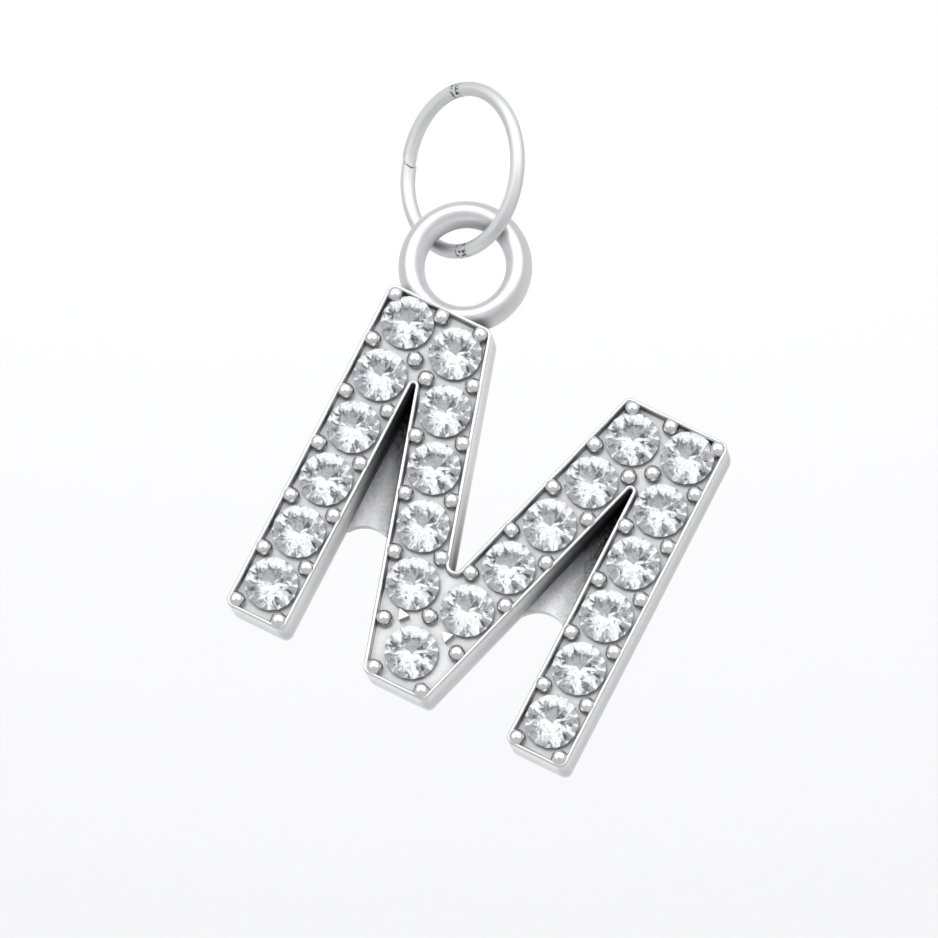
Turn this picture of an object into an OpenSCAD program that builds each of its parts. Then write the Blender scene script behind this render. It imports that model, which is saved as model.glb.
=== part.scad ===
// Initial pendant: a cast letter M set with 23 round stones, hung by its cast loop on a jump ring.
// Millimetres. +Z is up, the letter's face looks to -Y, and the origin is the highest point of the
// jump ring's inner edge, where the pendant hangs. The letter is drawn upright in its own frame,
// with its front rim at y = 0 and its top edge at z = 0, and is then tilted and hung.

/* [Letter] */
// Height of the letter from its top edge to its feet
letter_h = 12.2; // [12:0.1:14]
// Width of the letter across both stems
letter_w = 12.72; // [12.2:0.02:14]
// Width of each stroke
stroke_w = 2.22; // [2.14:0.02:2.4]
// Thickness of the letter from its rim to its flat back
letter_t = 2.5; // [2:0.1:3]
// Distance between the middle lines of a stem and of its diagonal at the top edge
stem_to_diag = 1.55; // [1.52:0.01:1.75]
// Radius of the letter's outer corners
corner_r = 0.3; // [0.15:0.05:0.4]
// Radius of the fillet between the diagonals
vee_r = 0.22; // [0.1:0.02:0.3]
// Radius of the fillet at the sharp end of each narrow notch
notch_r = 0.07; // [0.04:0.01:0.1]
// Width of the raised rim along the letter's edge
rim_w = 0.13; // [0.08:0.01:0.16]
// Depth of the tray behind the rim
tray_d = 0.38; // [0.32:0.02:0.5]
// Thickness of the webs that close the backs of the two narrow notches
web_t = 0.5; // [0.3:0.1:1]
// Distance of each web's back in from the letter's back
web_inset = 0.15; // [0.05:0.05:0.4]
// Length of each web below the sharp end of its notch
web_len = 5.7; // [3:0.1:7]

/* [Stones] */
// Diameter of each round stone
stone_d = 1.8; // [1.6:0.02:1.82]
// Height of a stone's crown above its girdle
crown_h = 0.3; // [0.2:0.02:0.4]
// Depth of a stone's pavilion below its girdle
pavilion_d = 0.75; // [0.6:0.05:0.9]
// Depth of the girdle's middle behind the front of the rim
girdle_y = 0.12; // [0.05:0.01:0.2]
// Distance from the top edge to the first stone in each stem
stem_first = 1; // [0.96:0.02:1.1]
// Distance from the foot to the lowest stones
foot_margin = 1.3; // [1.1:0.05:1.4]
// Distance from the top edge to the first stone in each diagonal
diag_first = 1.24; // [1.16:0.02:1.3]
// Clearance between a stone and its drilled seat
seat_gap = 0.04; // [0.03:0.01:0.06]
// Angle by which each stone is set off level
stone_tip = 1.5; // [0:0.1:2]

/* [Beads] */
// Diameter of each bead that holds the stones
bead_d = 0.58; // [0.4:0.02:0.6]
// Height of the beads above the front of the rim
bead_h = 0.15; // [0.05:0.01:0.2]
// Clearance between the bead in the crotch of the diagonals and the stones on each side of it
bead_clear = 0.07; // [0.04:0.01:0.12]

/* [Cast loop] */
// Outside diameter of the cast loop
loop_od = 4.5; // [4:0.02:4.8]
// Diameter of the hole through the cast loop
loop_hole = 2.76; // [2.3:0.02:2.9]
// Thickness of the cast loop from front to back
loop_t = 1.5; // [1.2:0.05:1.6]
// Distance from the stem's middle line in to the middle of the loop
loop_in = 0.58; // [0.4:0.01:1]
// Height of the lowest point of the loop's hole above the letter's top edge
loop_lift = 0.42; // [0.3:0.02:0.5]

/* [Jump ring] */
// Outside diameter of the jump ring
ring_od = 6; // [5.6:0.1:7]
// Diameter of the jump ring's wire
wire_d = 0.5; // [0.4:0.05:0.6]
// Width of the cut where the wire's ends meet
cut_w = 0.06; // [0.03:0.01:0.1]
// Slant of the cut across the wire
cut_slant = 40; // [0:5:50]
// Angle of the cut above the middle of the ring's left side
cut_at = 16; // [0:1:30]
// Angle between the jump ring and the letter's face, seen from above
ring_turn = 42.4; // [38:0.2:60]
// Lean of the jump ring's foot away from the front
ring_lean = 3; // [0:0.5:6]

/* [Hang] */
// Tilt of the letter, clockwise as seen from the front
letter_tilt = 27.2; // [20:0.2:34]
// Clear height between the wire and the top of the cast loop's hole, where the wire crosses the loop
// at a slant and all but touches its front and back shoulders
top_gap = 0.54; // [0.5:0.01:0.7]

/* [Hidden] */
STEM_STONES = 6;
DIAG_STONES = 5;
STONES = 2 * STEM_STONES + 2 * DIAG_STONES + 1;
function stone_name(i) = str("stone_", i < 9 ? "0" : "", i + 1);

$fn = 48;
over = 0.5;        // how far a cutting shape reaches past the face it cuts
eps = 0.0001;      // points nearer than this count as one
arc_steps = 5;     // straight steps in each rounded corner of an outline
least_r = 0.05;    // least radius of a rounded corner
metal = [0.82, 0.83, 0.84];
crystal = [0.93, 0.95, 0.97];

// Strokes of the letter
stroke_r = stroke_w / 2;
stem_x = letter_w / 2 - stroke_r;
diag_top = stem_x - stem_to_diag;
slope = diag_top / letter_h;                    // sideways run of a diagonal for each mm of height
diag_angle = atan(slope);
function diag_x(z) = diag_top + slope * z;      // middle line of the right diagonal, z below 0

bite_share = 0.6;       // radius of the hollow in a web's lower edge, as a share of the notch's width
bite_drop = 0.25;       // how far its middle lies below the web's lower end, as a share of the same

// Places of the stones. The lowest stone of each diagonal just clears the bead in the crotch.
stone_r = stone_d / 2;
bead_r = bead_d / 2;
pitch = (letter_h - stem_first - foot_margin) / (STEM_STONES - 1);
stem_z = [for (i = [0:STEM_STONES - 1]) -stem_first - i * pitch];
vertex_z = foot_margin - letter_h;
crotch_gap = 0.16;                              // gap between the lowest stone and the crotch's bead
crotch_z = vertex_z + stone_r + bead_r + crotch_gap;
crotch_off = diag_x(crotch_z) * cos(diag_angle);    // how far that bead is from a diagonal's middle line
crotch_far = stone_r + bead_r + bead_clear;         // and how far from the stones on each side of it
crotch_up = sqrt(crotch_far ^ 2 - crotch_off ^ 2);  // the part of that which runs along the diagonal
diag_last_z = crotch_z - crotch_off * sin(diag_angle) + crotch_up * cos(diag_angle);
diag_step = -(diag_first + diag_last_z) / (DIAG_STONES - 1);
diag_z = [for (i = [0:DIAG_STONES - 1]) -diag_first - i * diag_step];
stone_at = concat(
    [for (z = stem_z) [-stem_x, z]],
    [for (z = diag_z) [-diag_x(z), z]],
    [[0, vertex_z]],
    [for (i = [DIAG_STONES - 1:-1:0]) [diag_x(diag_z[i]), diag_z[i]]],
    [for (z = stem_z) [stem_x, z]]
);
girdle_t = 0.03;
table_share = 0.52;     // table's radius as a share of the stone's
star_share = 0.74;      // radius of the star facets' points as a share of the stone's
lower_share = 0.3;      // radius of the lower facets' inner points as a share of the stone's
stone_turn = 17;        // each stone is set turned this much further than the one before
tip_turn = 137.5;       // and its tip points this much further round

// Beads, in pairs across each stroke
bead_in = 0.02;                                 // how far a bead stays inside the letter's edge
bead_off = stroke_r - bead_r - bead_in;
bead_root = 0.1;                                // how far a bead is rooted below the tray's floor
dome_root = 0.12;                               // how far a bead's dome starts behind the rim's front
bead_dome = min(bead_r, bead_h + dome_root);

// Cast loop, whose section is an ellipse
loop_x = stem_x - loop_in;
hole_r = loop_hole / 2;
loop_half = (loop_od - loop_hole) / 4;          // half the section's width across the ring
loop_mid_r = hole_r + loop_half;
loop_z = hole_r + loop_lift;
loop_inset = 0.02;                              // how far the loop stays inside the letter's back
loop_y = letter_t - loop_t / 2 - loop_inset;

// Jump ring, and where the loop hangs on it
wire_r = wire_d / 2;
ring_r = ring_od / 2 - wire_r;                  // radius of the wire's middle line
ring_in = ring_r - wire_r;
wire_reach = ring_in + ring_r;                  // from the hang point to the lowest wire's middle
wire_low = [sin(ring_turn) * sin(ring_lean), cos(ring_turn) * sin(ring_lean), -cos(ring_lean)] * wire_reach;
hole_at = wire_low + [0, 0, wire_r + top_gap - hole_r];

// Points of an arc about c, from angle a to angle b
function arc(c, r, a, b, n) = [for (i = [0:n]) c + r * [cos(a + (b - a) * i / n), sin(a + (b - a) * i / n)]];

// A corner at p, rounded to radius r, between two edges whose outward normals point at angles a
// and b. An outer corner turns left, from a up to b, and an inner one turns right, from a down to b.
function corner(p, a, b, r) =
    let (half = (b - a) / 2, to_c = r / cos(half) * [cos(a + half), sin(a + half)])
    b > a ? arc(p - to_c, r, a, b, arc_steps) : arc(p + to_c, r, a + 180, b + 180, 2 * arc_steps);

// Right half of the letter's outline, counter-clockwise from the foot of the diagonals to the
// fillet between them, drawn in from the edge by the distance e
function half_outline(e) =
    let (
        w = stroke_r - e,
        wd = w / cos(diag_angle),
        top = -e,
        foot = e - letter_h,
        r = max(corner_r - e, least_r),
        notch_z = (stem_x - w - wd - diag_top) / slope,
        vee_z = (wd - diag_top) / slope
    )
    concat(
        corner([diag_x(foot) + wd, foot], -90, -diag_angle, r),
        corner([stem_x - w, notch_z], -diag_angle, -180, notch_r + e),
        corner([stem_x - w, foot], -180, -90, r),
        corner([stem_x + w, foot], -90, 0, r),
        corner([stem_x + w, top], 0, 90, r),
        corner([diag_x(top) - wd, top], 90, 180 - diag_angle, r),
        [
            for (p = corner([0, vee_z], 180 - diag_angle, diag_angle, vee_r + e))
            if (p[0] > -eps) [max(p[0], 0), p[1]]
        ]
    );
function outline(e) =
    let (half = half_outline(e), n = len(half))
    concat(half, [for (i = [n - 2:-1:0]) [-half[i][0], half[i][1]]]);

// A flat shape in x and z, made solid from depth y0 to depth y1
module slab(y0, y1) {
    translate([0, y1, 0]) rotate([90, 0, 0]) linear_extrude(height = y1 - y0) children();
}

// A shape turned about the axis of a stone, bead or hole at [x, z], with its height along +Y
module facing(at, y) {
    translate([at[0], y, at[1]]) rotate([-90, 0, 0]) children();
}

// Web across the back of the right-hand notch, with a hollow lower edge
module web() {
    notch_z = (stem_x - stroke_r - stroke_r / cos(diag_angle) - diag_top) / slope;
    low = notch_z - web_len;
    near = diag_x(low) + stroke_r / cos(diag_angle);
    far = stem_x - stroke_r;
    gap = far - near;
    sunk = stroke_r / 2;
    back = letter_t - web_inset;
    difference() {
        slab(back - web_t, back)
            polygon([[near - sunk, low], [far + sunk, low], [far + sunk, notch_z], [far, notch_z + sunk]]);
        facing([(near + far) / 2, low - gap * bite_drop], back - web_t - over)
            cylinder(r = gap * bite_share, h = web_t + 2 * over);
    }
}

// Bead with a domed head, rooted in the tray's floor
module bead(at) {
    root = tray_d + bead_root;
    shoulder = bead_h - bead_dome;
    profile = concat(
        [[0, -root], [bead_r, -root], [bead_r, shoulder]],
        [for (a = [18:18:72]) [bead_r * cos(a), shoulder + bead_dome * sin(a)]],
        [[0, bead_h]]
    );
    translate([at[0], 0, at[1]]) rotate([90, 0, 0]) rotate_extrude($fn = 24) polygon(profile);
}

// Places of the beads. A pair stands half a pitch before and after each stone of a stem.
stem_beads = [
    for (side = [-1, 1]) for (i = [0:STEM_STONES - 1]) for (across = [-bead_off, bead_off])
    [side * (stem_x + across), stem_z[i] - pitch / 2]
];
diag_beads = [
    for (side = [-1, 1]) for (i = [0:DIAG_STONES - 2]) for (across = [-bead_off, bead_off])
    let (z = diag_z[i] - diag_step / 2)
    [side * (diag_x(z) + across * cos(diag_angle)), z - across * sin(diag_angle)]
];
top_z = -bead_r - bead_in;
top_beads = [
    for (side = [-1, 1])
    for (x = [stem_x + bead_off, (stem_x + diag_x(-diag_first)) / 2, diag_x(0) - bead_off / cos(diag_angle)])
    [side * x, top_z]
];
shoulder_rise = 0.64;                           // height of the beads beside it above its middle
edge_z = vertex_z + shoulder_rise;
vertex_beads = concat(
    [[0, crotch_z]],
    [for (side = [-1, 1]) [side * (diag_x(edge_z) + bead_off * cos(diag_angle)), edge_z]],
    [for (side = [-1, 1]) [side * (diag_x(bead_r - letter_h) + bead_off), bead_r + bead_in - letter_h]]
);

// Corners of the right-hand flat that stands between the lowest stone and the bead beside it, as x
// and the height above the bead's middle
flat_corners = [[0.62, 0.42], [0.86, 0.14], [1, 0.5]];

// Cast loop, drawn about the middle of its hole
module cast_loop() {
    section = [for (a = [0:15:345]) [loop_mid_r + loop_half * cos(a), loop_t / 2 * sin(a)]];
    rotate([90, 0, 0]) rotate_extrude($fn = 96) polygon(section);
}

// Small triangular flats left standing beside the lowest stone's shoulders
module shoulder_flats() {
    for (side = [-1, 1]) mirror([side < 0 ? 1 : 0, 0, 0]) slab(0, tray_d + bead_root)
        translate([0, edge_z]) polygon(flat_corners);
}

// Conical seat under a stone. It starts above the tray's floor and follows the stone's pavilion.
module seat(at) {
    start = (girdle_y + tray_d) / 2;
    seat_r = stone_r * (1 - (start - girdle_y) / pavilion_d) + seat_gap;
    depth = seat_r * pavilion_d / stone_r;
    facing(at, start) cylinder(r1 = seat_r, r2 = 0, h = depth);
}

module casting() {
    difference() {
        union() {
            difference() {
                slab(0, letter_t) polygon(outline(0));
                slab(-over, tray_d) polygon(outline(rim_w));
            }
            web();
            mirror([1, 0, 0]) web();
            translate([-loop_x, loop_y, loop_z]) cast_loop();
            for (at = concat(stem_beads, diag_beads, top_beads, vertex_beads)) bead(at);
            shoulder_flats();
        }
        for (at = stone_at) seat(at);
    }
}

// Round stone with a table, eight star, eight bezel and sixteen upper facets, a thin girdle, and
// sixteen lower and eight main facets below. Its axis is Z, and its table is up.
module cut_stone() {
    half = 22.5;
    table_r = stone_r * table_share;
    star_r = stone_r * star_share;
    lower_r = stone_r * lower_share;
    crown_z = girdle_t / 2;
    star_z = crown_z + crown_h * (stone_r - star_r * cos(half)) / (stone_r - table_r);
    lower_z = -crown_z - pavilion_d * (stone_r - lower_r * cos(half)) / stone_r;
    function ring(r, z, n, turn) =
        [for (k = [0:n - 1]) let (a = 360 * k / n + turn) [r * cos(a), r * sin(a), z]];
    points = concat(
        ring(table_r, crown_z + crown_h, 8, 0),
        ring(star_r, star_z, 8, half),
        ring(stone_r, crown_z, 16, 0),
        ring(stone_r, -crown_z, 16, 0),
        ring(lower_r, lower_z, 8, half),
        [[0, 0, -crown_z - pavilion_d]]
    );
    star = 8;
    upper = 16;
    under = 32;
    lower = 48;
    culet = 56;
    function next(k) = (k + 1) % 8;
    function prev(k) = (k + 7) % 8;
    faces = concat(
        [[for (k = [7:-1:0]) k]],
        [for (k = [0:7]) [k, next(k), star + k]],
        [for (k = [0:7]) [k, star + k, upper + 2 * k, star + prev(k)]],
        [for (k = [0:7]) [star + k, upper + 2 * k + 1, upper + 2 * k]],
        [for (k = [0:7]) [star + k, upper + 2 * next(k), upper + 2 * k + 1]],
        [for (k = [0:15]) [upper + k, upper + (k + 1) % 16, under + (k + 1) % 16, under + k]],
        [for (k = [0:7]) [lower + k, under + 2 * k, under + 2 * k + 1]],
        [for (k = [0:7]) [lower + k, under + 2 * k + 1, under + 2 * next(k)]],
        [for (k = [0:7]) [culet, lower + prev(k), under + 2 * k, lower + k]]
    );
    polyhedron(points = points, faces = faces, convexity = 2);
}

// Places what is drawn in the letter's own frame where the letter hangs
module hung() {
    translate(hole_at) rotate([0, letter_tilt, 0]) translate([loop_x, -loop_y, -loop_z]) children();
}

module letter_casting() {
    color(metal) hung() casting();
}

module stone(i) {
    color(crystal) hung()
        translate([stone_at[i][0], girdle_y, stone_at[i][1]])
        rotate([90, 0, 0])
        rotate([0, 0, i * tip_turn]) rotate([stone_tip, 0, 0]) rotate([0, 0, i * (stone_turn - tip_turn)])
        cut_stone();
}

// Jump ring, cut through at its left side. Its highest inner point is the origin.
module jump_ring() {
    color(metal)
    rotate([0, 0, -ring_turn]) rotate([ring_lean, 0, 0]) translate([0, 0, -ring_in])
    difference() {
        rotate([90, 0, 0]) rotate_extrude($fn = 96) translate([ring_r, 0]) circle(r = wire_r, $fn = 32);
        rotate([0, cut_at, 0]) translate([-ring_r, 0, 0]) rotate([0, cut_slant, 0])
            cube([4 * wire_r, 3 * wire_r, cut_w], center = true);
    }
}

letter_casting();
jump_ring();
for (i = [0:STONES - 1]) stone(i);
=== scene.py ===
import bpy
import bmesh
import random
from math import atan, cos, pi, radians, sin, sqrt, tan
from mathutils import Matrix, Vector


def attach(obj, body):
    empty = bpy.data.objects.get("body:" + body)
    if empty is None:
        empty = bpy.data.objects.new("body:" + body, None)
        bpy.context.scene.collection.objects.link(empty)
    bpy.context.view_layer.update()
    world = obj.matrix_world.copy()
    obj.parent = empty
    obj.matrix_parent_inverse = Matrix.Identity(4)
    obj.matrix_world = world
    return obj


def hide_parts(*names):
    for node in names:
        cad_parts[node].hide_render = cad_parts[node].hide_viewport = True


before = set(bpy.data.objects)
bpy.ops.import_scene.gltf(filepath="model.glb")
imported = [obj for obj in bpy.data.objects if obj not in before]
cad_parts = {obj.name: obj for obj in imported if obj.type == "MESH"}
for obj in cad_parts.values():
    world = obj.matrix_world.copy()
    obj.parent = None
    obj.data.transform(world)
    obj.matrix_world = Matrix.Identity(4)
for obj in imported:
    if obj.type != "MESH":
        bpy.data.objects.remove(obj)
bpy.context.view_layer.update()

# An initial pendant: a letter M cast in zinc, plated bright and set with round crystals, that hangs by
# its cast loop from a jump ring. Sizes are in millimetres, as in the part's source. The letter is drawn
# upright, with its rim's front at y = 0 and its top edge at z = 0, and is then tilted and hung.
MM = 0.001

# Letter
LETTER_H, LETTER_W, LETTER_T = 12.2, 12.72, 2.5
STROKE_R = 2.22 / 2                             # half the width of a stroke
STEM_TO_DIAG = 1.55                             # between a stem's middle line and its diagonal's, at the top
CORNER_R, VEE_R, NOTCH_R = 0.3, 0.22, 0.07      # outer corners, the wide notch and the narrow notches
LEAST_R = 0.05
RIM_W, TRAY_D = 0.13, 0.38
WEB_T, WEB_INSET, WEB_LEN = 0.5, 0.15, 5.7

# Stones, and the beads that hold them
STEM_STONES, DIAG_STONES = 6, 5
STONE_R, PAVILION_D, GIRDLE_Y = 0.9, 0.75, 0.12
STEM_FIRST, DIAG_FIRST, FOOT_MARGIN = 1.0, 1.24, 1.3
SEAT_GAP = 0.04
BEAD_R, BEAD_H, BEAD_IN, BEAD_ROOT = 0.29, 0.15, 0.02, 0.1
BEAD_CLEAR, CROTCH_GAP = 0.07, 0.16
BEAD_SHIFT = 0.015                              # most that a bead strays from its place
SHOULDER_UP = 0.64                              # the beads beside the lowest stone, above its middle
SHOULDER_FLAT = [(0.62, 0.42), (0.86, 0.14), (1.0, 0.5)]      # a flat's corners, above those beads

# Cast loop
LOOP_OD, LOOP_HOLE, LOOP_T = 4.5, 2.76, 1.5
LOOP_IN, LOOP_LIFT, LOOP_INSET = 0.58, 0.42, 0.02

# Jump ring
RING_OD, WIRE_R = 6.0, 0.25
RING_TURN, RING_LEAN = radians(42.4), radians(3)
CUT_W, CUT_AT, CUT_SLANT = 0.06, radians(16), radians(40)
CUT_STEP = 0.03                                 # how far the wire's ends stand out of line

# Hang
TILT, TOP_GAP = radians(27.2), 0.54

INSIDE = 0.004      # rounded faces here are drawn this much smaller than the source's straight-sided ones
SAME = 1e-6         # points nearer than this count as one

# What follows from them
STEM_X = LETTER_W / 2 - STROKE_R
DIAG_TOP = STEM_X - STEM_TO_DIAG
SLOPE = DIAG_TOP / LETTER_H
DIAG_ANGLE = atan(SLOPE)
PITCH = (LETTER_H - STEM_FIRST - FOOT_MARGIN) / (STEM_STONES - 1)
LOOP_X = STEM_X - LOOP_IN
HOLE_R = LOOP_HOLE / 2
LOOP_HALF = (LOOP_OD - LOOP_HOLE) / 4
LOOP_Y = LETTER_T - LOOP_T / 2 - LOOP_INSET
LOOP_Z = HOLE_R + LOOP_LIFT
RING_R = RING_OD / 2 - WIRE_R
RING_IN = RING_R - WIRE_R


def diag_x(z):
    """Middle line of the right diagonal at height z."""
    return DIAG_TOP + SLOPE * z


def notch_top(w):
    """Height of a narrow notch's sharp end, for strokes that reach w to each side of their middle lines."""
    return (STEM_X - w - w / cos(DIAG_ANGLE) - DIAG_TOP) / SLOPE


STEM_ZS = [-STEM_FIRST - i * PITCH for i in range(STEM_STONES)]
VERTEX_Z = FOOT_MARGIN - LETTER_H
# The lowest stone of each diagonal just clears the bead in the crotch
CROTCH_Z = VERTEX_Z + STONE_R + BEAD_R + CROTCH_GAP
off_line = diag_x(CROTCH_Z) * cos(DIAG_ANGLE)
apart = STONE_R + BEAD_R + BEAD_CLEAR
DIAG_LAST_Z = (CROTCH_Z - off_line * sin(DIAG_ANGLE)
               + sqrt(apart ** 2 - off_line ** 2) * cos(DIAG_ANGLE))
DIAG_STEP = -(DIAG_FIRST + DIAG_LAST_Z) / (DIAG_STONES - 1)
DIAG_ZS = [-DIAG_FIRST - i * DIAG_STEP for i in range(DIAG_STONES)]
STONE_PLACES = [(0, VERTEX_Z)] + [
    (side * x, z) for side in (-1, 1)
    for x, z in [(STEM_X, z) for z in STEM_ZS] + [(diag_x(z), z) for z in DIAG_ZS]]

lean_way = Vector((sin(RING_TURN) * sin(RING_LEAN), cos(RING_TURN) * sin(RING_LEAN), -cos(RING_LEAN)))
wire_low = lean_way * (RING_IN + RING_R)
hole_at = wire_low + Vector((0, 0, WIRE_R + TOP_GAP - HOLE_R))
HUNG = (Matrix.Scale(MM, 4) @ Matrix.Translation(hole_at) @ Matrix.Rotation(TILT, 4, "Y")
        @ Matrix.Translation((LOOP_X, -LOOP_Y, -LOOP_Z)))
FRONT_Y = (hole_at.y - LOOP_Y) * MM             # the rim's front, in metres, once the letter hangs
UPRIGHT = Vector((sin(TILT), 0, cos(TILT)))     # the letter's own upward direction
TOP_EDGE = (hole_at.dot(UPRIGHT) - LOOP_Z) * MM
RING_PLACE = (Matrix.Scale(MM, 4) @ Matrix.Rotation(-RING_TURN, 4, "Z")
              @ Matrix.Rotation(RING_LEAN, 4, "X") @ Matrix.Translation((0, 0, -RING_IN)))


# Mesh helpers

def new_piece(name, verts, faces):
    """A piece of its own, linked to the scene."""
    mesh = bpy.data.meshes.new(name)
    mesh.from_pydata([tuple(v) for v in verts], [], faces)
    mesh.validate()
    piece = bpy.data.objects.new(name, mesh)
    bpy.context.scene.collection.objects.link(piece)
    return piece


def skin(loops, ring=False):
    """Verts and faces of a tube through loops of equally many points. A ring joins its last loop to its
    first, and any other tube has closed ends."""
    n = len(loops[0])
    verts = [p for loop in loops for p in loop]
    faces = []
    for a in range(len(loops) if ring else len(loops) - 1):
        b = (a + 1) % len(loops)
        for i in range(n):
            j = (i + 1) % n
            faces.append((a * n + i, a * n + j, b * n + j, b * n + i))
    if not ring:
        faces.append(tuple(reversed(range(n))))
        faces.append(tuple(range((len(loops) - 1) * n, len(loops) * n)))
    return verts, faces


def outward(piece):
    """Turns the faces outward."""
    shape = bmesh.new()
    shape.from_mesh(piece.data)
    bmesh.ops.recalc_face_normals(shape, faces=shape.faces)
    shape.to_mesh(piece.data)
    shape.free()
    return piece


def turned(name, profile, steps, at, y=0.0):
    """A piece turned about the -Y axis through (x, z), from a profile of (radius, height above y)."""
    loops = [[(at[0] + r * cos(2 * pi * k / steps), y - h, at[1] + r * sin(2 * pi * k / steps))
              for k in range(steps)] for r, h in profile]
    return outward(new_piece(name, *skin(loops)))


def merge(base, tools, how):
    """Joins tools to base, or cuts them from it, and takes them away."""
    for tool in tools:
        step = base.modifiers.new("step", "BOOLEAN")
        step.operation = how
        step.solver = "MANIFOLD"
        step.object = tool
        bpy.context.view_layer.update()
        seen = base.evaluated_get(bpy.context.evaluated_depsgraph_get())
        shape = bpy.data.meshes.new_from_object(seen)
        base.modifiers.remove(step)
        old, base.data = base.data, shape
        bpy.data.meshes.remove(old)
        bpy.data.objects.remove(tool)
    return base


def soft_edges(piece, limit):
    """Smooths the shading except where two faces meet at more than the limit, and keeps broad faces flat."""
    piece.data.shade_smooth()
    piece.data.set_sharp_from_angle(angle=radians(limit))
    keep_flat = piece.modifiers.new("broad faces", "WEIGHTED_NORMAL")
    keep_flat.keep_sharp = True
    keep_flat.weight = 80


# Letter

def arc(c, r, a, b, n):
    """Points along an arc of radius r about c, from angle a to angle b."""
    return [(c[0] + r * cos(a + (b - a) * i / n), c[1] + r * sin(a + (b - a) * i / n)) for i in range(n + 1)]


def corner(p, a, b, r, n=8):
    """Rounds the corner at p between edges whose outward normals point at a and b."""
    half = (b - a) / 2
    to = (r / cos(half) * cos(a + half), r / cos(half) * sin(a + half))
    if b > a:
        return arc((p[0] - to[0], p[1] - to[1]), r, a, b, n)
    return arc((p[0] + to[0], p[1] + to[1]), r, a + pi, b + pi, 2 * n)


def outline(e):
    """The letter's outline, drawn in from its edge by e, as (x, z) points."""
    w = STROKE_R - e
    wd = w / cos(DIAG_ANGLE)
    top, foot = -e, e - LETTER_H
    r = max(CORNER_R - e, LEAST_R)
    vee = corner((0, (wd - DIAG_TOP) / SLOPE), pi - DIAG_ANGLE, DIAG_ANGLE, VEE_R + e)
    half = (corner((diag_x(foot) + wd, foot), -pi / 2, -DIAG_ANGLE, r)
            + corner((STEM_X - w, notch_top(w)), -DIAG_ANGLE, -pi, NOTCH_R + e)
            + corner((STEM_X - w, foot), -pi, -pi / 2, r)
            + corner((STEM_X + w, foot), -pi / 2, 0, r)
            + corner((STEM_X + w, top), 0, pi / 2, r)
            + corner((diag_x(top) - wd, top), pi / 2, pi - DIAG_ANGLE, r)
            + [(max(x, 0), z) for x, z in vee if x > -SAME])
    return half + [(-x, z) for x, z in reversed(half[:-1])]


def letter_body():
    """The letter's block and tray. Each row is a distance in from the edge and a depth behind the rim."""
    half = RIM_W / 2
    # The first row lies on the flat back, to keep it flat
    eased_back = [
        (0.3, LETTER_T), (0.17, LETTER_T), (0.12, LETTER_T - 0.01), (0.085, LETTER_T - 0.04),
        (0.06, LETTER_T - 0.1), (0.038, LETTER_T - 0.22), (0.02, LETTER_T - 0.38),
        (0.008, LETTER_T - 0.56), (0, LETTER_T - 0.8)]
    turns = [radians(d) for d in range(0, 181, 18)]
    rolled_rim = [(half - half * cos(a), half - half * sin(a)) for a in turns]
    tray = [(RIM_W + 0.02, TRAY_D - 0.06), (RIM_W + 0.035, TRAY_D - 0.015), (RIM_W + 0.07, TRAY_D)]
    rows = eased_back + rolled_rim + tray
    loops = [[(x, y, z) for x, z in outline(e + INSIDE)] for e, y in rows]
    return outward(new_piece("letter_casting_bright", *skin(loops)))


def web(side):
    """The thin web across the back of one narrow notch, with a hollow lower edge."""
    steps = 16
    top = notch_top(STROKE_R)
    low = top - WEB_LEN
    near, far = diag_x(low) + STROKE_R / cos(DIAG_ANGLE), STEM_X - STROKE_R
    gap, mid, sunk = far - near, (far + near) / 2, STROKE_R / 2
    hollow_r = gap * 0.6
    edge = []
    for i in range(steps + 1):
        x = near + gap * i / steps
        edge.append((x, low - gap / 4 + sqrt(hollow_r ** 2 - (x - mid) ** 2)))
    flat = [(near - sunk, edge[0][1])] + edge
    flat += [(far + sunk, edge[-1][1]), (far + sunk, top), (far, top + sunk)]
    back = LETTER_T - WEB_INSET
    loops = [[(side * x, y, z) for x, z in flat] for y in (back - WEB_T, back)]
    return outward(new_piece("web", *skin(loops)))


def cast_loop():
    """The loop above the left stem, oval in section."""
    steps, around = 144, 40
    rings = []
    for i in range(steps):
        a = 2 * pi * i / steps
        rings.append([])
        for k in range(around):
            b = 2 * pi * k / around
            r = HOLE_R + LOOP_HALF + LOOP_HALF * cos(b)
            rings[-1].append((r * cos(a) - LOOP_X, LOOP_Y + LOOP_T / 2 * sin(b), r * sin(a) + LOOP_Z))
    return outward(new_piece("loop", *skin(rings, ring=True)))


def bead_places():
    """Middles of the beads: pairs below the stones of each stroke, a row along the top edge, one on each
    side of the lowest stone and of its foot, and one in the crotch."""
    off = STROKE_R - BEAD_R - BEAD_IN
    top = -BEAD_R - BEAD_IN
    foot = BEAD_R + BEAD_IN - LETTER_H
    shoulder = VERTEX_Z + SHOULDER_UP
    places = []
    for side in (-1, 1):
        for z in STEM_ZS:
            places += [(side * (STEM_X + a), z - PITCH / 2) for a in (-off, off)]
        for z in DIAG_ZS[:-1]:
            low = z - DIAG_STEP / 2
            places += [(side * (diag_x(low) + a * cos(DIAG_ANGLE)), low - a * sin(DIAG_ANGLE))
                       for a in (-off, off)]
        places += [(side * x, top) for x in (
            STEM_X + off, (STEM_X + diag_x(-DIAG_FIRST)) / 2, diag_x(0) - off / cos(DIAG_ANGLE))]
        places.append((side * (diag_x(shoulder) + off * cos(DIAG_ANGLE)), shoulder))
        places.append((side * (diag_x(BEAD_R - LETTER_H) + off), foot))
    places.append((0, CROTCH_Z))
    return places


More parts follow.
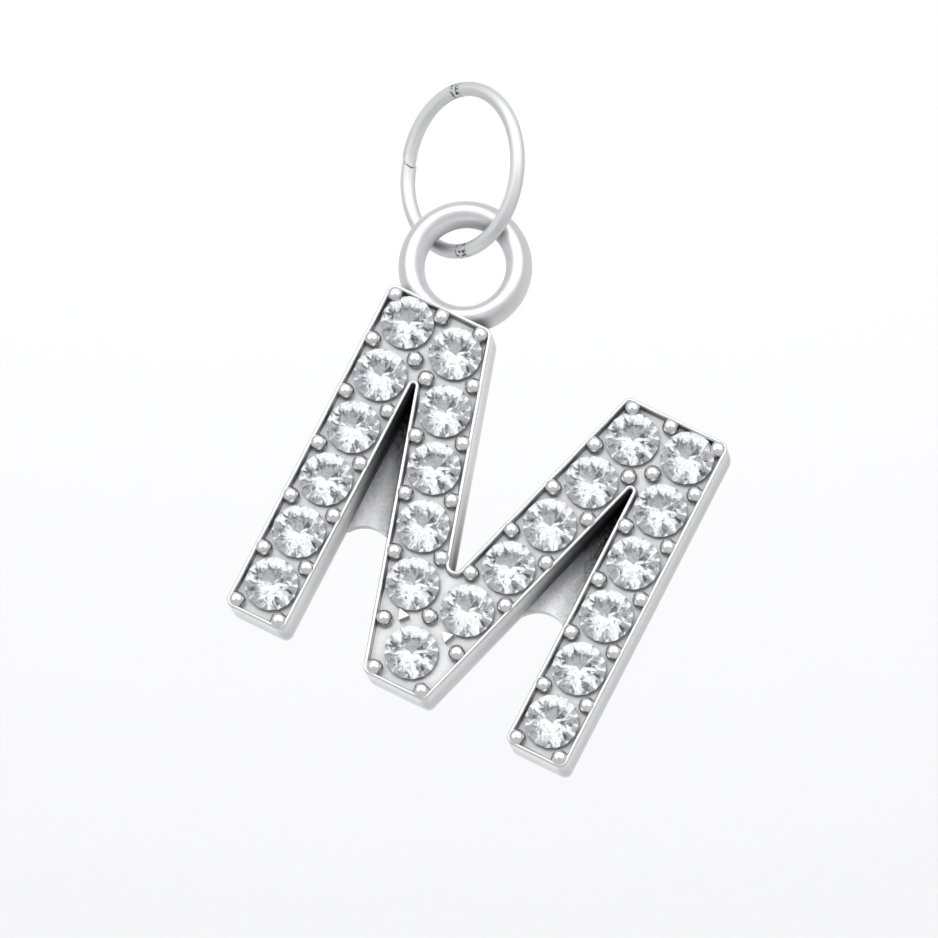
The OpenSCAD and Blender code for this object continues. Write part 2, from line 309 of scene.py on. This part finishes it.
def bead(at, chance):
    """A bead raised by hand: a ball's head on a short root. No two are quite alike."""
    r = BEAD_R * chance.uniform(0.95, 1.0)
    head = BEAD_H * chance.uniform(0.85, 1.0)
    x = at[0] + chance.uniform(-BEAD_SHIFT, BEAD_SHIFT)
    z = at[1] + chance.uniform(-BEAD_SHIFT, BEAD_SHIFT)
    profile = [(r * 0.98, -TRAY_D - BEAD_ROOT)]
    profile += [(r * cos(a), head - r + r * sin(a)) for a in [radians(d) for d in range(0, 86, 7)]]
    return turned("bead", profile, 32, (x, z))


def shoulder_flat(side):
    """The little flat left standing between the lowest stone and the bead beside it."""
    at = VERTEX_Z + SHOULDER_UP
    loops = [[(side * x, y, at + up) for x, up in SHOULDER_FLAT] for y in (0, TRAY_D + BEAD_ROOT)]
    return outward(new_piece("flat", *skin(loops)))


def seat(at):
    """The drilled cone that a stone sits in."""
    start = (GIRDLE_Y + TRAY_D) / 2
    r = STONE_R * (1 - (start - GIRDLE_Y) / PAVILION_D) + SEAT_GAP
    depth = r * PAVILION_D / STONE_R
    return turned("seat", [(r, 0), (r * 0.5, -depth * 0.5), (0.01, -depth * 0.99)], 48, at, y=start)


def letter_casting():
    """The whole casting, with the seats cut in it, hung in its place."""
    chance = random.Random(23)
    piece = letter_body()
    merge(piece, [web(-1), web(1), cast_loop()], "UNION")
    merge(piece, [bead(at, chance) for at in bead_places()], "UNION")
    merge(piece, [shoulder_flat(-1), shoulder_flat(1)], "UNION")
    merge(piece, [seat(at) for at in STONE_PLACES], "DIFFERENCE")
    piece.data.transform(HUNG)
    piece.data.materials.clear()
    soft_edges(piece, 38)
    return piece


# Jump ring

def jump_ring():
    """A turn of round wire. Its cut ends are slanted and stand a hair out of line."""
    steps, around = 240, 32
    fade = 14       # the ends' slant fades out within a fourteenth of the turn
    half_cut = CUT_W / 2 / cos(CUT_SLANT)
    verts, faces, mapped = [], [], []
    for i in range(steps + 1):
        t = i / steps
        fade_a, fade_b = max(0, 1 - t * fade), max(0, 1 - (1 - t) * fade)
        shift = CUT_STEP * fade_b ** 2
        for k in range(around):
            b = 2 * pi * k / around
            lean = tan(CUT_SLANT) * WIRE_R * cos(b)
            start, end = half_cut + lean * fade_a, -half_cut + lean * fade_b
            s = start * (1 - t) + (2 * pi * RING_R + end) * t
            a = pi - CUT_AT - s / RING_R
            r = RING_R + (WIRE_R - INSIDE) * cos(b) - shift
            verts.append((r * cos(a), (WIRE_R - INSIDE) * sin(b) + shift, r * sin(a)))
            mapped.append((s, WIRE_R * b))
    for i in range(steps):
        for k in range(around):
            j = (k + 1) % around
            faces.append((i * around + k, i * around + j, (i + 1) * around + j, (i + 1) * around + k))
    faces.append(tuple(range(around)))
    faces.append(tuple(reversed(range(steps * around, (steps + 1) * around))))
    piece = new_piece("jump_ring_bright", verts, faces)
    # The map runs in millimetres along and round the wire, and carries on past a full turn of its surface
    uv = piece.data.uv_layers.new(name="along the wire")
    for face in piece.data.polygons:
        first = mapped[face.vertices[0]]
        for corner_of in face.loop_indices:
            s, turn = mapped[piece.data.loops[corner_of].vertex_index]
            if abs(turn - first[1]) > pi * WIRE_R:
                turn += 2 * pi * WIRE_R if turn < first[1] else -2 * pi * WIRE_R
            uv.data[corner_of].uv = (s, turn)
    outward(piece)
    piece.data.transform(RING_PLACE)
    soft_edges(piece, 40)
    return piece


# Materials

FACTOR, FIRST, SECOND, MIXED = 0, 6, 7, 2       # sockets of a node that mixes two colours


def linear(hex_colour):
    """An sRGB hex colour as Blender's linear one."""
    out = []
    for i in (0, 2, 4):
        c = int(hex_colour[i:i + 2], 16) / 255
        out.append(c / 12.92 if c <= 0.04045 else ((c + 0.055) / 1.055) ** 2.4)
    return (*out, 1.0)


def start_material(name):
    """A new material with an empty node tree."""
    material = bpy.data.materials.new(name)
    material.use_nodes = True
    tree = material.node_tree
    tree.nodes.clear()
    return material, tree


def add(tree, kind, settings=None, inputs=None, stops=None):
    """Adds a node. Settings are its own fields, an input is a value or another node's output, and the
    stops of a colour ramp are (position, hex colour)."""
    node = tree.nodes.new(kind)
    for key, value in (settings or {}).items():
        setattr(node, key, value)
    for key, value in (inputs or {}).items():
        if isinstance(value, bpy.types.NodeSocket):
            tree.links.new(value, node.inputs[key])
        else:
            node.inputs[key].default_value = value
    if stops:
        band = node.color_ramp.elements
        while len(band) < len(stops):
            band.new(0.5)
        for element, (place, colour) in zip(band, stops):
            element.position = place
            element.color = linear(colour)
    return node


def rhodium_on_cast_zinc():
    """Rhodium plate on a tumbled zinc casting: a near-white mirror that the casting leaves a little uneven,
    and dull in the recesses, which polishing hardly gets into. Its colour carries painted shade, darker
    where faces are shut in, and a painted shadow on each web."""
    material, tree = start_material("rhodium_on_cast_zinc")
    spot = add(tree, "ShaderNodeTexCoord")
    place = spot.outputs["Object"]

    # Waves of the cast surface are about 0.6 mm long, and tumbling marks about 0.08 mm
    waves = add(tree, "ShaderNodeTexNoise", None, {
        "Vector": place, "Scale": 1 / (0.6 * MM), "Detail": 2.0, "Roughness": 0.5})
    marks = add(tree, "ShaderNodeTexNoise", None, {
        "Vector": place, "Scale": 1 / (0.08 * MM), "Detail": 3.0, "Roughness": 0.6})
    wavy = add(tree, "ShaderNodeBump", None, {
        "Strength": 0.35, "Distance": 0.02 * MM, "Height": waves.outputs["Fac"]})
    marked = add(tree, "ShaderNodeBump", None, {
        "Strength": 0.12, "Distance": 0.004 * MM, "Height": marks.outputs["Fac"],
        "Normal": wavy.outputs["Normal"]})

    # How open a place is: 1 in the open, and less where other faces stand within 2.5 mm. It sets painted
    # shade: the tray's corners and the notches' walls are coloured darker the more they are shut in.
    recess = add(tree, "ShaderNodeAmbientOcclusion", {"samples": 16}, {"Distance": 2.5 * MM}).outputs["AO"]
    # Painted shade on the tray: pale grey where it is shut in
    tray = add(tree, "ShaderNodeValToRGB", None, {"Fac": recess}, [
        (0.08, "C4C4C6"), (0.2, "C8C8CA"), (0.36, "CACACC"), (0.6, "D2D2D4"), (0.82, "E6E6E8"),
        (0.94, "F8F8FA")])
    # Painted shade on the walls and the back, down to black deep in the notches
    wall_shade = add(tree, "ShaderNodeValToRGB", None, {"Fac": recess}, [
        (0.15, "0A0A0A"), (0.23, "303032"), (0.28, "6A6A6C"), (0.38, "8A8A8C"), (0.55, "B0B0B2"),
        (0.8, "CACACC"), (0.95, "D6D6D8")])

    # The webs get a painted shadow, as of light from the right and the front: they are coloured black at
    # their upper ends and close under the right-hand stroke, where other faces block that way
    toward_light = add(tree, "ShaderNodeCombineXYZ", None, {"X": 0.75, "Y": -0.6, "Z": 0.28})
    open_to_light = add(tree, "ShaderNodeAmbientOcclusion", {"samples": 16}, {
        "Distance": 2.5 * MM, "Normal": toward_light.outputs["Vector"]})
    web_shadow = add(tree, "ShaderNodeValToRGB", None, {"Fac": open_to_light.outputs["AO"]}, [
        (0.2, "0A0A0A"), (0.255, "262628"), (0.28, "8E8E90"), (0.3, "F4F4F6"), (0.36, "FAFAFC")])

    # Below the tray, faces that look to the front are the webs, and the others are walls or the back
    across = add(tree, "ShaderNodeSeparateXYZ", None, {"Vector": spot.outputs["Normal"]})
    faces_front = add(tree, "ShaderNodeMath", {"operation": "MULTIPLY", "use_clamp": True}, {
        0: across.outputs["Y"], 1: -1.0})
    # The notch's colour: painted shade on its walls and the back, painted shadow on the webs
    notch = add(tree, "ShaderNodeMix", {"data_type": "RGBA"}, {
        FACTOR: faces_front.outputs[0], FIRST: wall_shade.outputs["Color"], SECOND: web_shadow.outputs["Color"]})
    depth = add(tree, "ShaderNodeSeparateXYZ", None, {"Vector": place})
    deep = add(tree, "ShaderNodeMapRange", None, {
        "Value": depth.outputs["Y"], "From Min": FRONT_Y + TRAY_D * MM,
        "From Max": FRONT_Y + 3 * TRAY_D * MM})
    # The letter's colour: the tray's painted shade near the front, the notch's deeper down
    letter_shade = add(tree, "ShaderNodeMix", {"data_type": "RGBA"}, {
        FACTOR: deep.outputs["Result"], FIRST: tray.outputs["Color"], SECOND: notch.outputs[MIXED]})

    # The loop is only tumbled, which leaves it satin, and the letter is polished after that. The loop's
    # colour is painted shade, darker where other faces stand near it.
    height = add(tree, "ShaderNodeVectorMath", {"operation": "DOT_PRODUCT"}, {0: place, 1: UPRIGHT})
    on_loop = add(tree, "ShaderNodeMapRange", None, {
        "Value": height.outputs["Value"], "From Min": TOP_EDGE - 0.1 * MM, "From Max": TOP_EDGE + 0.3 * MM})
    loop_shade = add(tree, "ShaderNodeValToRGB", None, {"Fac": recess}, [(0.3, "8A8A8C"), (0.7, "F8F8FA")])
    # The colour is the loop's painted shade on the loop, and the letter's painted shade below its top edge
    tone = add(tree, "ShaderNodeMix", {"data_type": "RGBA"}, {
        FACTOR: on_loop.outputs["Result"], FIRST: letter_shade.outputs[MIXED],
        SECOND: loop_shade.outputs["Color"]})

    # Duller on the loop and in the recesses
    polish = add(tree, "ShaderNodeMapRange", None, {
        "Value": marks.outputs["Fac"], "From Min": 0.3, "From Max": 0.7, "To Min": 0.16, "To Max": 0.26})
    loop_dull = add(tree, "ShaderNodeMath", {"operation": "MULTIPLY_ADD"}, {
        0: on_loop.outputs["Result"], 1: 0.2, 2: polish.outputs["Result"]})
    as_cast = add(tree, "ShaderNodeMapRange", None, {
        "Value": recess, "From Min": 0.2, "From Max": 0.7, "To Min": 0.24, "To Max": 0.0})
    dull = add(tree, "ShaderNodeMath", {"operation": "ADD"}, {
        0: loop_dull.outputs[0], 1: as_cast.outputs["Result"]})
    metal = add(tree, "ShaderNodeBsdfPrincipled", None, {
        "Base Color": tone.outputs[MIXED], "Metallic": 1.0, "Roughness": dull.outputs[0],
        "Normal": marked.outputs["Normal"]})
    add(tree, "ShaderNodeOutputMaterial", None, {"Surface": metal.outputs["BSDF"]})
    return material


def plated_wire():
    """Bright plated wire, drawn through a die: fine lines run along it. The pliers that bent it left
    small dark nicks at its top and bottom."""
    material, tree = start_material("plated_wire")
    wire = add(tree, "ShaderNodeTexCoord").outputs["UV"]

    # Real drawn lines are finer than this. They are drawn 0.08 mm apart and 4 mm long so that they show.
    lines = add(tree, "ShaderNodeMapping", None, {"Vector": wire, "Scale": (1 / 4, 1 / 0.08, 1)})
    grain = add(tree, "ShaderNodeTexNoise", None, {
        "Vector": lines.outputs["Vector"], "Scale": 1.0, "Detail": 2.0})
    bump = add(tree, "ShaderNodeBump", None, {
        "Strength": 0.5, "Distance": 0.006 * MM, "Height": grain.outputs["Fac"]})
    tone = add(tree, "ShaderNodeValToRGB", None, {"Fac": grain.outputs["Fac"]}, [
        (0.35, "E8E8EA"), (0.55, "FCFCFD")])

    # The nicks are pits about 0.12 mm across, within 0.3 mm of the top and of the bottom
    along = add(tree, "ShaderNodeSeparateXYZ", None, {"Vector": wire})
    past_top = add(tree, "ShaderNodeMath", {"operation": "SUBTRACT"}, {
        0: along.outputs["X"], 1: (pi / 2 - CUT_AT) * RING_R})
    away = add(tree, "ShaderNodeMath", {"operation": "PINGPONG"}, {
        0: past_top.outputs[0], 1: pi * RING_R / 2})
    near = add(tree, "ShaderNodeMapRange", None, {
        "Value": away.outputs[0], "From Min": 0.16, "From Max": 0.3, "To Min": 1.0, "To Max": 0.0})
    pits = add(tree, "ShaderNodeTexNoise", None, {"Vector": wire, "Scale": 1 / 0.12, "Detail": 3.0})
    pitted = add(tree, "ShaderNodeMapRange", None, {
        "Value": pits.outputs["Fac"], "From Min": 0.48, "From Max": 0.6})
    nick = add(tree, "ShaderNodeMath", {"operation": "MULTIPLY"}, {
        0: near.outputs["Result"], 1: pitted.outputs["Result"]})
    worn = add(tree, "ShaderNodeMix", {"data_type": "RGBA"}, {
        FACTOR: nick.outputs[0], FIRST: tone.outputs["Color"], SECOND: linear("48484A")})
    dull = add(tree, "ShaderNodeMapRange", None, {
        "Value": grain.outputs["Fac"], "From Min": 0.3, "From Max": 0.7, "To Min": 0.46, "To Max": 0.58})
    metal = add(tree, "ShaderNodeBsdfPrincipled", None, {
        "Base Color": worn.outputs[MIXED], "Metallic": 1.0, "Roughness": dull.outputs["Result"],
        "Normal": bump.outputs["Normal"]})
    add(tree, "ShaderNodeOutputMaterial", None, {"Surface": metal.outputs["BSDF"]})
    return material


def foiled_crystal():
    """Cut crystal glass with a mirror foil on its back facets: light goes in through the crown, is
    thrown about by the foil and comes out again, so facets show white, grey and dark at once."""
    material, tree = start_material("foiled_crystal")
    place = add(tree, "ShaderNodeTexCoord").outputs["Object"]
    depth = add(tree, "ShaderNodeSeparateXYZ", None, {"Vector": place})
    girdle = FRONT_Y + (GIRDLE_Y + 0.02) * MM
    behind = add(tree, "ShaderNodeMath", {"operation": "GREATER_THAN"}, {0: depth.outputs["Y"], 1: girdle})

    # Polishing leaves faint hazy spots about 0.1 mm across, and the foil is a little uneven
    haze = add(tree, "ShaderNodeTexNoise", None, {"Vector": place, "Scale": 1 / (0.1 * MM), "Detail": 2.0})
    polish = add(tree, "ShaderNodeMapRange", None, {
        "Value": haze.outputs["Fac"], "From Min": 0.45, "From Max": 0.75, "To Min": 0.0, "To Max": 0.06})
    tone = add(tree, "ShaderNodeValToRGB", None, {"Fac": haze.outputs["Fac"]}, [
        (0.35, "E6E6E9"), (0.6, "FAFAFC")])
    uneven = add(tree, "ShaderNodeMapRange", None, {
        "Value": haze.outputs["Fac"], "From Min": 0.3, "From Max": 0.7, "To Min": 0.06, "To Max": 0.16})
    glass = add(tree, "ShaderNodeBsdfPrincipled", None, {
        "Base Color": linear("FDFEFF"), "Roughness": polish.outputs["Result"], "IOR": 1.56,
        "Transmission Weight": 1.0})
    foil = add(tree, "ShaderNodeBsdfPrincipled", None, {
        "Base Color": tone.outputs["Color"], "Metallic": 1.0, "Roughness": uneven.outputs["Result"]})
    both = add(tree, "ShaderNodeMixShader", None, {
        0: behind.outputs[0], 1: glass.outputs["BSDF"], 2: foil.outputs["BSDF"]})
    add(tree, "ShaderNodeOutputMaterial", None, {"Surface": both.outputs["Shader"]})
    return material


# Making the pendant

casting = letter_casting()
casting.data.materials.append(rhodium_on_cast_zinc())
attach(casting, "letter")
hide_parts("letter_casting")

ring = jump_ring()
ring.data.materials.append(plated_wire())
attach(ring, "ring")
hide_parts("jump_ring")

crystal = foiled_crystal()
for name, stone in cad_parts.items():
    if name.startswith("stone_"):
        for slot in stone.material_slots:
            slot.material = crystal


# Studio

def paper():
    """White seamless paper, matt."""
    material, tree = start_material("seamless_paper")
    matt = add(tree, "ShaderNodeBsdfPrincipled", None, {"Base Color": linear("D0D0D1"), "Roughness": 0.9})
    add(tree, "ShaderNodeOutputMaterial", None, {"Surface": matt.outputs["BSDF"]})
    return material


def backdrop():
    """A sweep of paper: floor, a wide bend and a wall behind."""
    floor_y, floor_z, bend = -600, -130, 150
    wall_y, wall_top, half_w = 400, 500, 2000
    turns = [radians(d) for d in range(0, 91, 6)]
    line = [(floor_y, floor_z)]
    line += [(wall_y - bend + bend * sin(a), floor_z + bend - bend * cos(a)) for a in turns]
    line += [(wall_y, wall_top)]
    verts = [(x * MM, y * MM, z * MM) for y, z in line for x in (-half_w, half_w)]
    faces = [(2 * i, 2 * i + 1, 2 * i + 3, 2 * i + 2) for i in range(len(line) - 1)]
    sweep = new_piece("backdrop", verts, faces)
    sweep.data.shade_smooth()
    sweep.data.materials.append(paper())


def pool_of_light(name, at, aim, cone, power):
    """A lamp that lights a soft-edged round of the paper behind the pendant, so that it stands out
    white there and falls off to pale grey round it."""
    light = bpy.data.lights.new(name, "SPOT")
    light.spot_size = radians(cone)
    light.spot_blend = 0.5
    light.shadow_soft_size = 20 * MM
    light.energy = power
    holder = bpy.data.objects.new(name, light)
    holder.location = Vector(at) * MM
    holder.rotation_euler = (Vector(aim) - Vector(at)).to_track_quat("-Z", "Y").to_euler()
    bpy.context.scene.collection.objects.link(holder)


def tent():
    """A white tent of soft light. It is bright in front, with a duller place where the lens looks in,
    and its sides fall off to dark cloth. Behind and below, the paper gives the light."""
    room = bpy.data.worlds.new("tent")
    room.use_nodes = True
    tree = room.node_tree
    tree.nodes.clear()
    way = add(tree, "ShaderNodeTexCoord").outputs["Generated"]

    # The tent's tone by the angle from its bright middle
    ahead = add(tree, "ShaderNodeVectorMath", {"operation": "DOT_PRODUCT"}, {0: way, 1: (0.03, -0.965, 0.26)})
    off = add(tree, "ShaderNodeMath", {"operation": "ARCCOSINE"}, {0: ahead.outputs["Value"]})
    turns = add(tree, "ShaderNodeMath", {"operation": "DIVIDE"}, {0: off.outputs[0], 1: pi})
    cloth = add(tree, "ShaderNodeValToRGB", None, {"Fac": turns.outputs[0]}, [
        (0.0, "FFFFFF"), (52 / 180, "FFFFFF"), (66 / 180, "AEAEB0"), (95 / 180, "989899"),
        (115 / 180, "CECED0"), (1.0, "DCDCDE")])

    # The place of the lens, which only reflections see: from behind the pendant, a view that looks
    # straight at it finds the tent as pale there as elsewhere
    toward = add(tree, "ShaderNodeVectorMath", {"operation": "DOT_PRODUCT"}, {
        0: way, 1: (-0.06, -0.977, -0.2045)})
    lens = add(tree, "ShaderNodeValToRGB", None, {"Fac": toward.outputs["Value"]}, [
        (0.0, "FFFFFF"), (cos(radians(17)), "FFFFFF"), (cos(radians(12)), "2C2C2E")])
    reflected = add(tree, "ShaderNodeMix", {"data_type": "RGBA", "blend_type": "MULTIPLY"}, {
        FACTOR: 1.0, FIRST: cloth.outputs["Color"], SECOND: lens.outputs["Color"]})
    straight = add(tree, "ShaderNodeLightPath").outputs["Is Camera Ray"]
    seen = add(tree, "ShaderNodeMix", {"data_type": "RGBA"}, {
        FACTOR: straight, FIRST: reflected.outputs[MIXED], SECOND: cloth.outputs["Color"]})
    light = add(tree, "ShaderNodeBackground", None, {"Color": seen.outputs[MIXED], "Strength": 1.45})
    add(tree, "ShaderNodeOutputWorld", None, {"Surface": light.outputs["Background"]})
    bpy.context.scene.world = room


def camera():
    """Below the letter's middle and a little to its right, 300 mm away, as the photo was taken."""
    turn, rise, far = radians(5.3), radians(-11.8), 300
    px_per_mm, width_px = 29.9, 938
    left_px, down_px = 20, 53       # the picture's middle lies this far left of and below the letter's
    back = Vector((sin(turn) * cos(rise), -cos(turn) * cos(rise), sin(rise)))
    right = Vector((cos(turn), sin(turn), 0))
    up = back.cross(right)
    aim = Vector((1, 0, -11)) - right * left_px / px_per_mm - up * down_px / px_per_mm
    view = bpy.data.cameras.new("camera")
    view.lens = px_per_mm * far / width_px * view.sensor_width
    view.clip_start = 1 * MM
    view.clip_end = 10
    holder = bpy.data.objects.new("camera", view)
    axes = Matrix((right, up, back)).transposed().to_4x4()
    holder.matrix_world = Matrix.Translation((aim + back * far) * MM) @ axes
    bpy.context.scene.collection.objects.link(holder)
    bpy.context.scene.camera = holder


camera()
backdrop()
tent()
pool_of_light("paper light", (-36, 60, 330), (-36, 400, 73), 33, 4.9)
bpy.context.scene.view_settings.view_transform = "Standard"
